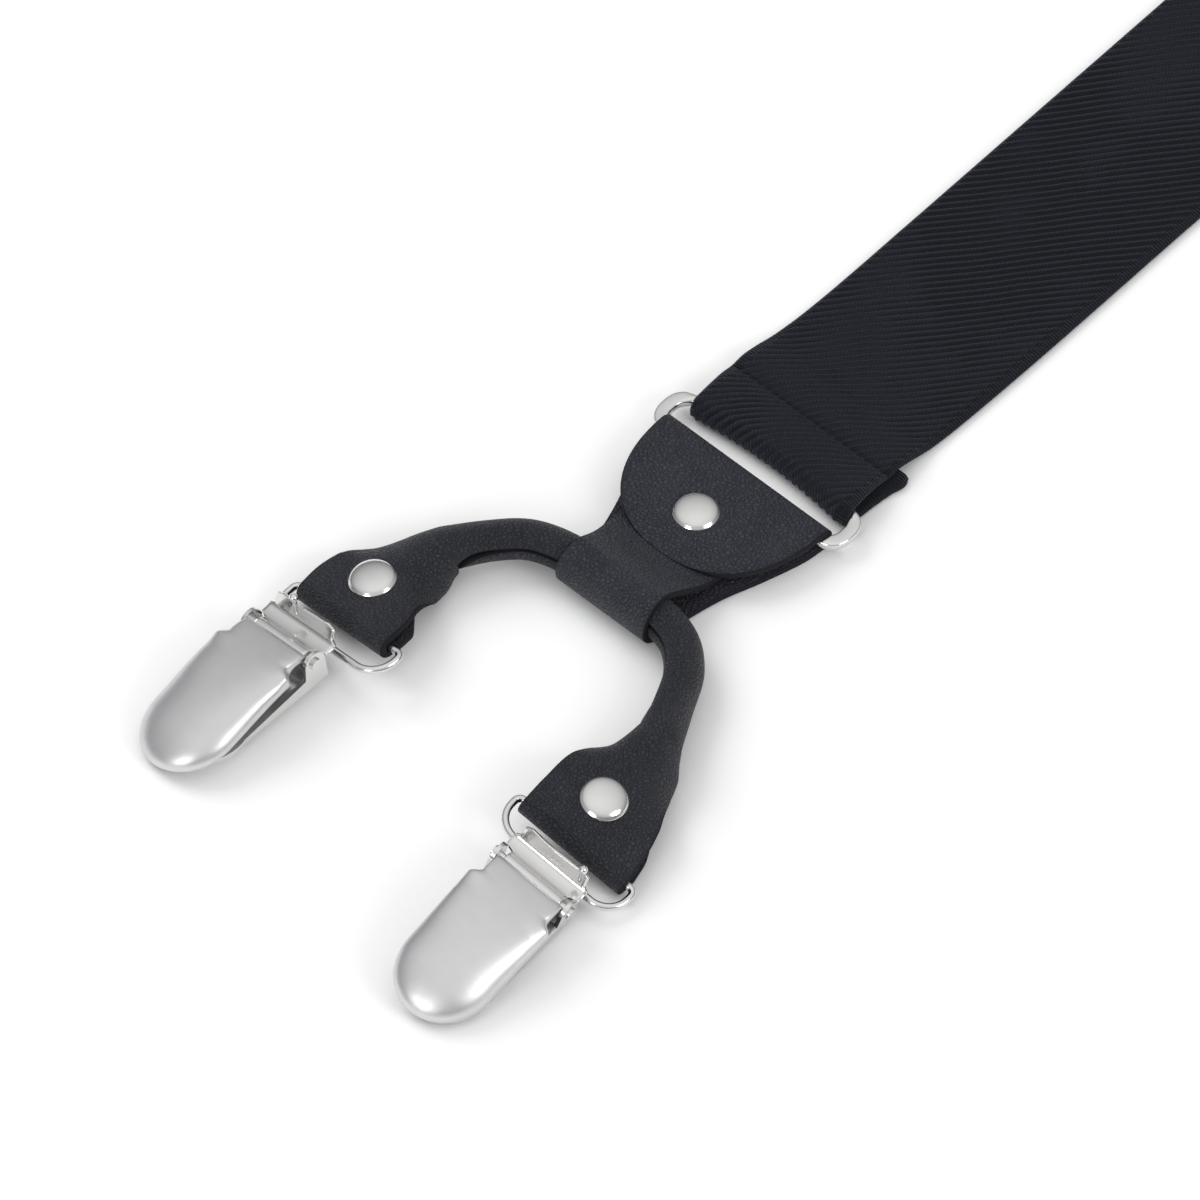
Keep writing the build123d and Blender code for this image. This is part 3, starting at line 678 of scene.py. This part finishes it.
def rolledStrap(end, clips):
    own = arms
    endPlace = endFrame(end)
    back = endPlace.inverted()
    for number, (clip, ear) in enumerate(zip(clips, earShape)):
        side = back @ sideFrame(clip)
        turn = np.array(side.to_3x3())
        spot = np.array(side.translation) / mm
        part = []
        # under layer, fold, upper layer
        for y in np.linspace(ear["under"], 0.6, 20):
            part.append((y, -own["foldMid"], True))
        for a in np.linspace(0, pi, 17):
            part.append((-own["foldMid"] * sin(a), -own["foldMid"] * cos(a), False))
        for y in np.linspace(0.6, ear["neck"][1], 34):
            lift = float(eased(y, [5.0, ear["neck"][1]], [0.0, 1.25]))
            part.append((y, own["foldMid"] + lift, False))
        rows = []
        for y, z, under in part:
            leftEdge = float(flowing(max(y, 0), ear["y"], ear["left"]))
            rightEdge = float(flowing(max(y, 0), ear["y"], ear["right"]))
            if under:
                pull = float(eased(y, [4.0, ear["under"]], [0.0, 3.4]))
                leftEdge += pull - 0.3
                rightEdge -= pull - 0.3
            middle = (leftEdge + rightEdge) / 2
            here = spot + turn @ np.array([middle, y, z])
            rows.append((here, turn[:, 0], (rightEdge - leftEdge) / 2))
        if number == 1:
            tail = [(here, -across, half) for here, across, half in rows[::-1]]
        else:
            head = rows
    cordTop = own["around"] / (2 * pi)
    cord = [(np.array([x, y, yoke["rollZ"] + cordTop]), None, 2.8) for x, y in own["route"]]
    chain = head + cord + tail
    points = np.array([item[0] for item in chain])
    walk = alongOf(points)
    headEnd = walk[len(head) - 1]
    tailStart = walk[len(head) + len(cord)]
    even = np.concatenate([np.linspace(0, headEnd, own["earRows"], endpoint=False),
                           np.linspace(headEnd, tailStart, own["cordRows"], endpoint=False),
                           np.linspace(tailStart, walk[-1], own["earRows"])])
    padded = extended(points)
    line = []
    for s in even:
        index = min(int(np.searchsorted(walk, s, side="right")) - 1, len(points) - 2)
        t = (s - walk[index]) / max(walk[index + 1] - walk[index], 1e-6)
        line.append(rounded(padded[index:index + 4], t))
    line = np.array(line)
    soften(line, own["softLine"], 5)
    halves = np.interp(even, walk, [item[2] for item in chain])
    flat = np.array([0, 0, 1.0])
    across = np.zeros((len(even), 3))
    along = unit(np.gradient(line, axis=0))
    level = unit(np.cross(along, flat))
    firstAcross = chain[0][1]
    lastAcross = chain[-1][1]
    for index, s in enumerate(even):
        if s < headEnd:
            share = float(eased(s, [headEnd - own["twist"], headEnd], [0.0, 1.0]))
            across[index] = firstAcross * (1 - share) + level[index] * share
        elif s > tailStart:
            share = float(eased(s, [tailStart, tailStart + own["twist"]], [1.0, 0.0]))
            across[index] = lastAcross * (1 - share) + level[index] * share
        else:
            across[index] = level[index]
    # how far each stretch is rolled, from its visible width and the strip's own width
    soften(halves, own["softWidth"], 12)
    shares = np.linspace(0.0, 0.975, 200)
    shown = np.where(shares < 0.5, np.sinc(shares), 1 / (pi * np.maximum(shares, 0.4)))
    curl = np.interp(-2 * halves / own["around"], -shown, shares)
    # the under layers end inside the roll, so they are never curled
    under = (even < walk[own["underRows"]]) | (even > walk[-own["underRows"] - 1])
    curl[under] = 0.0
    soften(curl, (1, len(curl) - 1), 60)
    curl[under] = 0.0
    wide = halves / np.where(curl < 0.5, np.sinc(curl), 1 / (pi * np.maximum(curl, 0.4)))
    sway = np.interp(even, [headEnd, tailStart], own["seamTurns"])
    roll = -np.radians(sway) * eased(curl, [0.72, 0.965], [0.0, 1.0])
    layers = own["columns"]
    rings, lies, _ = stripRings(line, across, -wide, wide, own["thick"], layers, layers, curl, roll, 0.2)
    lies[:, :, 1] = alongOf(line)[:, None]
    rings[:, :, 2] = np.maximum(rings[:, :, 2], 0.03)
    rows, columns = rings.shape[:2]
    piece = makePiece(end + "_arms_leather", rings.reshape(-1, 3), tubeFaces(rows, columns), endPlace,
                      ["rolled", "cut"], end + "_arms", lie=lies.reshape(-1, 2),
                      marks=stripMarks(rows, layers, layers))
    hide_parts(end + "_rolled_strap")


# Rivets: a turned dome with a fine rolled rim

rivet = {"sides": 72, "domeStart": 8, "domeStop": 78, "seat": 2.12,
         "ear": {"radius": 4.2, "height": 1.5, "under": 4.2}}


def rivetCap(name, place, body, radius, height, under):
    profile = [(0, height)]
    stop = radians(rivet["domeStop"])
    for a in np.linspace(rivet["domeStart"], rivet["domeStop"], 16):
        crown = (cos(radians(a)) - cos(stop)) / (1 - cos(stop))
        profile.append((radius * 0.93 * sin(radians(a)) / sin(stop), height * (0.30 + 0.70 * crown)))
    profile += [(radius * 0.985, height * 0.20), (radius, height * 0.08), (radius * 0.99, -0.06),
                (radius * 0.9, -0.12), (1.5, -0.12), (1.5, -under), (radius * 0.82, -under),
                (radius * 0.86, -under - 0.25), (radius * 0.80, -under - 0.45), (0, -under - 0.45)]
    sides = rivet["sides"]
    points = []
    for r, z in profile:
        for a in np.linspace(0, 2 * pi, sides, endpoint=False):
            points.append((max(r, 0.001) * cos(a), max(r, 0.001) * sin(a), z))
    return makePiece(name, points, tubeFaces(len(profile), sides), place, ["polished"], body)


# D-ring: a drawn wire bent to a D

wire = {"radius": 0.66, "width": 26.5, "depth": bowDepth, "barCorner": 1.2, "bowCorner": 4.4}


def dRing(clip):
    own = wire
    halfX = own["width"] / 2 - 0.7
    route = []
    corners = ((halfX, 0, own["barCorner"], 90, 0), (halfX, -own["depth"], own["bowCorner"], 0, -90),
               (-halfX, -own["depth"], own["bowCorner"], -90, -180),
               (-halfX, 0, own["barCorner"], 180, 90))
    for x, y, r, start, stop in corners:
        cx = x - r * np.sign(x)
        cy = y - r if y == 0 else y + r
        for a in np.linspace(start, stop, 14):
            route.append((cx + r * cos(radians(a)), cy + r * sin(radians(a)), 0.0))
    line = closedWalk(route, 1.2)
    outward = outwardOf(line)
    sides = 20
    points = []
    for index, here in enumerate(line):
        for a in np.linspace(0, 2 * pi, sides, endpoint=False):
            points.append(here + own["radius"] * (outward[index] * cos(a) + np.array([0, 0, sin(a)])))
    piece = makePiece(clip + "_d_ring_wire", points, tubeFaces(len(line), sides, True), sideFrame(clip),
                      ["polished"], clip + "_link")
    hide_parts(clip + "_d_ring")


# Clip dome: a pressed, satin shell with a rolled edge over the pin

dome = {"half": 8.65, "reach": 30.5, "nose": 9.8, "tilt": radians(7), "neck": 6.95,
        "sheet": 0.62, "noseFrom": -20.0, "dropFrom": -5.2, "tip": 6.0, "edge": 0.00012}


def domeShell(clip):
    own = dome
    crownLine = smoothLine([(0, -own["reach"], 0.0), (0, -30.0, 1.35), (0, -28.2, 2.75), (0, -25.0, 4.05),
                            (0, -20.5, 4.75), (0, -16.0, 4.98), (0, -11.0, 4.80), (0, -7.0, 4.30),
                            (0, -4.6, 3.85), (0, -3.2, 3.52), (0, -2.0, 3.20), (0, -1.1, 2.85),
                            (0, -0.7, 2.35)], 110)
    steps = alongOf(crownLine)
    tip = own["tip"]
    walk = np.concatenate([tip * (1 - np.cos(np.linspace(0.0, pi / 2, 40, endpoint=False))),
                           np.linspace(tip, steps[-1], 90)])
    crownLine = np.stack([np.interp(walk, steps, crownLine[:, axis]) for axis in range(3)], axis=1)
    across = 56
    points = []
    lies = []
    for _, y, z in crownLine:
        noseShare = np.clip((-y - (own["reach"] - own["nose"])) / own["nose"], 0, 1)
        if y < own["noseFrom"]:
            half = own["half"] * sqrt(max(1 - noseShare ** 2.15, 0.0))
        else:
            half = float(eased(y, [-6.4, -4.6], [own["half"], own["neck"]]))
        half = max(half, 0.02)
        power = float(eased(y, [own["noseFrom"], -9.0, -3.6], [2.2, 3.0, 7.0]))
        foot = float(eased(y, [-26.0, -7.0], [0.0, 1.5]))
        if y > own["dropFrom"]:
            foot += float(eased(y, [own["dropFrom"], -3.0], [0.0, 1.0])) * (z - 1.4 - foot)
        for t in np.linspace(-1, 1, across):
            # even steps along the arch rather than across it
            a = (t + 1) * pi / 2
            c = -cos(a)
            s = sin(a)
            x = half * np.sign(c) * abs(c) ** (2 / power)
            rise = s ** (2 / power)
            points.append((x, y, foot + (z - foot) * rise))
            lies.append((x, y))
    rows = len(crownLine)
    faces = []
    for row in range(rows - 1):
        for column in range(across - 1):
            low = row * across + column
            faces.append((low, low + 1, low + across + 1, low + across))
    tilted = pinFrame(clip) @ Matrix.Rotation(own["tilt"], 4, "X")
    piece = makePiece(clip + "_dome_shell", points, faces, tilted, ["brushed"], clip + "_upper_jaw",
                      lie=lies, weld=True)
    thick = piece.modifiers.new("sheet", "SOLIDIFY")
    thick.thickness = own["sheet"] * mm
    thick.offset = -1
    soft = piece.modifiers.new("edge", "BEVEL")
    soft.width = own["edge"]
    soft.segments = 2
    soft.limit_method = "ANGLE"
    soft.angle_limit = radians(50)
    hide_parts(clip + "_jaw_dome")


# Lever: a plate over the pin whose free edge curls up

lever = {"thick": 0.6, "columns": 24, "lipAt": 7.2, "lipHalf": 6.8}


def leverPlate(clip):
    own = lever
    line = smoothLine([(0, -1.1, 0.5), (0, -0.4, 1.05), (0, 0.5, 1.0), (0, 1.2, 0.45), (0, 1.8, -0.05),
                       (0, 2.7, -0.22), (0, 3.6, -0.22), (0, 4.3, -0.08), (0, 4.85, 0.36), (0, 5.3, 1.1),
                       (0, 5.7, 2.0), (0, 6.0, 2.8)], 80)
    steps = alongOf(line)
    half = eased(steps, [0, 3.6, 4.4, 6.6, 7.2, 9.0, steps[-1] - 0.5, steps[-1]],
                 [6.0, 6.0, 7.8, 7.8, 6.9, 6.8, 6.5, 5.6])
    layers = own["columns"]
    rings, _, _ = stripRings(line, levelAcross(line), -half, half, own["thick"], layers, layers,
                             rounding=0.12)
    # the lip is hollowed, its ends standing nearer the ear
    lip = np.clip((steps - own["lipAt"]) / 3.0, 0, 1)[:, None]
    rings[:, :, 1] += lip * 0.7 * ((rings[:, :, 0] / own["lipHalf"]) ** 2 - 0.4)
    rows, columns = rings.shape[:2]
    piece = makePiece(clip + "_lever_plate", rings.reshape(-1, 3), tubeFaces(rows, columns), pinFrame(clip),
                      ["polished"], clip + "_lever_body")
    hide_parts(clip + "_lever")


# Back patch: two leather shields, the upper one crowned and sewn round its edge

patch = {"middle": np.array([0, 16.0]), "seam": 0.945, "stitch": 2.9, "gap": 0.9, "thread": 0.28,
         "bows": (((-20.5, -22), (0, -22.6), (20.5, -22), 30), ((20.5, -22), (27.0, 9), (45.0, 58), 60),
                  ((45.0, 58), (0, 48), (-45.0, 58), 60), ((-45.0, 58), (-27.0, 9), (-20.5, -22), 60)),
         "shares": (0.04, 0.15, 0.3, 0.45, 0.6, 0.74, 0.85, 0.92, 0.955, 0.98, 0.993, 1.0)}


def shieldLine(count):
    corners = []

    for first, through, last, steps in patch["bows"]:
        a, through, b = Vector(first), Vector(through), Vector(last)
        for t in np.linspace(0, 1, steps, endpoint=False):
            corners.append(tuple((1 - t) * (1 - 2 * t) * a + 4 * t * (1 - t) * through
                                 + t * (2 * t - 1) * b))
    line = np.array(corners)
    for _ in range(26):
        line = 0.25 * np.roll(line, 1, axis=0) + 0.5 * line + 0.25 * np.roll(line, -1, axis=0)
    closed = np.vstack([line, line[:1]])
    steps = alongOf(closed)
    even = np.linspace(0, steps[-1], count, endpoint=False)
    return np.stack([np.interp(even, steps, closed[:, axis]) for axis in range(2)], axis=1)


def shield(name, low, high, crown, node):
    edge = shieldLine(220)
    centre = patch["middle"]
    points = []
    shares = patch["shares"]
    for share in shares:
        for x, y in centre + (edge - centre) * share:
            sewn = -0.22 * np.exp(-((share - patch["seam"]) / 0.013) ** 2)
            rim = 0.25 * max(0, share - 0.98) / 0.02
            points.append((x, y, high + crown * (1 - share ** 6) + sewn - rim))
    for share in (1.0, 0.99, 0.04):
        for x, y in centre + (edge - centre) * share:
            points.append((x, y, low + (0.2 if share == 1.0 else 0.0)))
    rows = len(shares) + 3
    piece = makePiece(name, points, tubeFaces(rows, len(edge)), Matrix.Identity(4), ["leather", "cut"],
                      "straps",
                      marks=np.array([1 if row == len(shares) - 1 else 0 for row in range(rows - 1)
                                      for _ in edge] + [0, 0], dtype=np.int32))
    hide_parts(node)


def stitching(name, line, height, body, place, length, gap, radius):
    # a run of separate stitches, each a bead that dips at its two ends
    line = np.asarray(line, float)
    steps = alongOf(line)
    count = int(steps[-1] // (length + gap))
    points = []
    faces = []
    sides = 8
    for number in range(count):
        start = number * steps[-1] / count + gap / 2
        rings = 7
        first = len(points)
        for index in range(rings):
            t = index / (rings - 1)
            s = start + t * length
            here = np.array([np.interp(s, steps, line[:, axis]) for axis in range(2)])
            ahead = np.array([np.interp(s + 0.1, steps, line[:, axis]) for axis in range(2)])
            way = (ahead - here) / max(np.linalg.norm(ahead - here), 1e-6)
            side = np.array([-way[1], way[0], 0])
            rise = height + radius * 0.5 - 0.9 * radius * (2 * t - 1) ** 4
            size = radius * (1 - 0.45 * (2 * t - 1) ** 4)
            for a in np.linspace(0, 2 * pi, sides, endpoint=False):
                points.append(np.array([here[0], here[1], rise]) + side * size * cos(a)
                              + np.array([0, 0, size * sin(a)]))
        faces += [tuple(first + corner for corner in face) for face in tubeFaces(rings, sides)]
    return makePiece(name, points, faces, place, ["thread"], body)


# Put the pieces together

for end, sideNames in ends.items():
    clips = [end + "_" + name for name in sideNames]
    webbing(end)
    ring(end)
    yokePiece(end)
    rolledStrap(end, clips)
    seat = endFrame(end) @ Matrix.Translation(Vector(yoke["capAt"]) * mm)
    yokeCap = rivetCap(end + "_yoke_cap", seat, end + "_yoke_body", **yoke["cap"])
    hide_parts(end + "_yoke_rivet")
    for clip, ear in zip(clips, earShape):
        seat = sideFrame(clip) @ Matrix.Translation(Vector((*ear["cap"], rivet["seat"])) * mm)
        rivetCap(clip + "_ear_cap", seat, end + "_arms", **rivet["ear"])
        dRing(clip)
        domeShell(clip)
        leverPlate(clip)
    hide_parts(end + "_ear_rivets")
    print(end, "end made")

shield("back_patch_face", 2.72, 3.75, 0.5, "patch_face")
shield("back_patch_lining", 0.02, 1.15, 0.0, "patch_lining")
edge = shieldLine(400)
around = patch["middle"] + (edge - patch["middle"]) * patch["seam"]
stitching("back_patch_stitches", np.vstack([around, around[:1]]), 3.86, "straps", Matrix.Identity(4),
          patch["stitch"], patch["gap"], patch["thread"])
print("patch made")


# Metal pieces that keep their CAD shape: finer edges and a finish of their own

metal = {"edge": 0.00014, "segments": 3, "sharp": radians(40)}
for name, node in frame["nodes"].items():
    kind = ("polished" if name.endswith(("jaw_base", "_pin", "_stud", "adjuster_frame"))
            else "brushed" if name.endswith("adjuster_gate") else None)
    if kind is None:
        continue
    if not node.material_slots:
        node.data.materials.append(finish[kind])
    for slot in node.material_slots:
        slot.material = finish[kind]
    edges = node.modifiers.new("edges", "BEVEL")
    edges.width = metal["edge"]
    edges.segments = metal["segments"]
    edges.limit_method = "ANGLE"
    edges.angle_limit = metal["sharp"]
print("metal finished")


# Floor, light and camera

floorGraph = materialGraph("paleFloor")
paleFloor = floorGraph.surface(Base_Color=(0.95, 0.95, 0.95, 1), Roughness=0.9, Specular_IOR_Level=0.1)
bpy.ops.mesh.primitive_plane_add(size=8.0, location=(0, 0, 0))
floor = bpy.context.object
floor.name = "floor"
floor.data.materials.append(paleFloor)

view = {"azimuth": radians(42.4), "elevation": radians(53), "distance": 4.95, "lens": 900,
        "near": 0.1, "aim": (-2.5, -34.5, 0)}
aim = endFrame("back") @ (Vector(view["aim"]) * mm)

lights = (
    {"name": "key", "at": (-1.00, 0.02, 0.80), "size": 0.9, "power": 7.5, "mirrored": False},
    {"name": "right", "at": (0.95, 0.12, 0.60), "size": 0.55, "power": 3.0, "mirrored": True},
    {"name": "front", "at": (0.15, -1.00, 0.45), "size": 0.45, "power": 2.2, "mirrored": True},
)
for own in lights:
    data = bpy.data.lights.new(own["name"], "AREA")
    data.shape = "DISK"
    data.size = own["size"]
    data.energy = own["power"]
    lamp = bpy.data.objects.new(own["name"], data)
    lamp.visible_glossy = own["mirrored"]
    lamp.location = aim + Vector(own["at"])
    lamp.rotation_euler = (-Vector(own["at"])).to_track_quat("-Z", "Y").to_euler()
    scene.collection.objects.link(lamp)

# the room: bright overhead, dimmer towards the horizon
world = bpy.data.worlds.new("softBox")
scene.world = world
room = Graph(world, "Background")
direction = room.add("ShaderNodeTexCoord", {}, {})
upward = room.add("ShaderNodeSeparateXYZ", {}, {0: direction}, 2)
brightness = (
    (0.0, (0.12, 0.12, 0.125, 1)),
    (1.0, (1.0, 1.0, 1.0, 1)),
    (0.5, (0.55, 0.55, 0.56, 1)),
)
room.surface(Color=room.add("ShaderNodeValToRGB", {"stops": brightness}, {0: upward}), Strength=0.95)
scene.view_settings.view_transform = "Standard"

camera = bpy.data.objects.new("camera", bpy.data.cameras.new("camera"))
camera.data.lens = view["lens"]
camera.data.clip_start = view["near"]
back = Vector((sin(view["azimuth"]) * cos(view["elevation"]),
               -cos(view["azimuth"]) * cos(view["elevation"]), sin(view["elevation"])))
camera.location = aim + back * view["distance"]
camera.rotation_euler = (-back).to_track_quat("-Z", "Y").to_euler()
scene.collection.objects.link(camera)
scene.camera = camera
print("stage set")
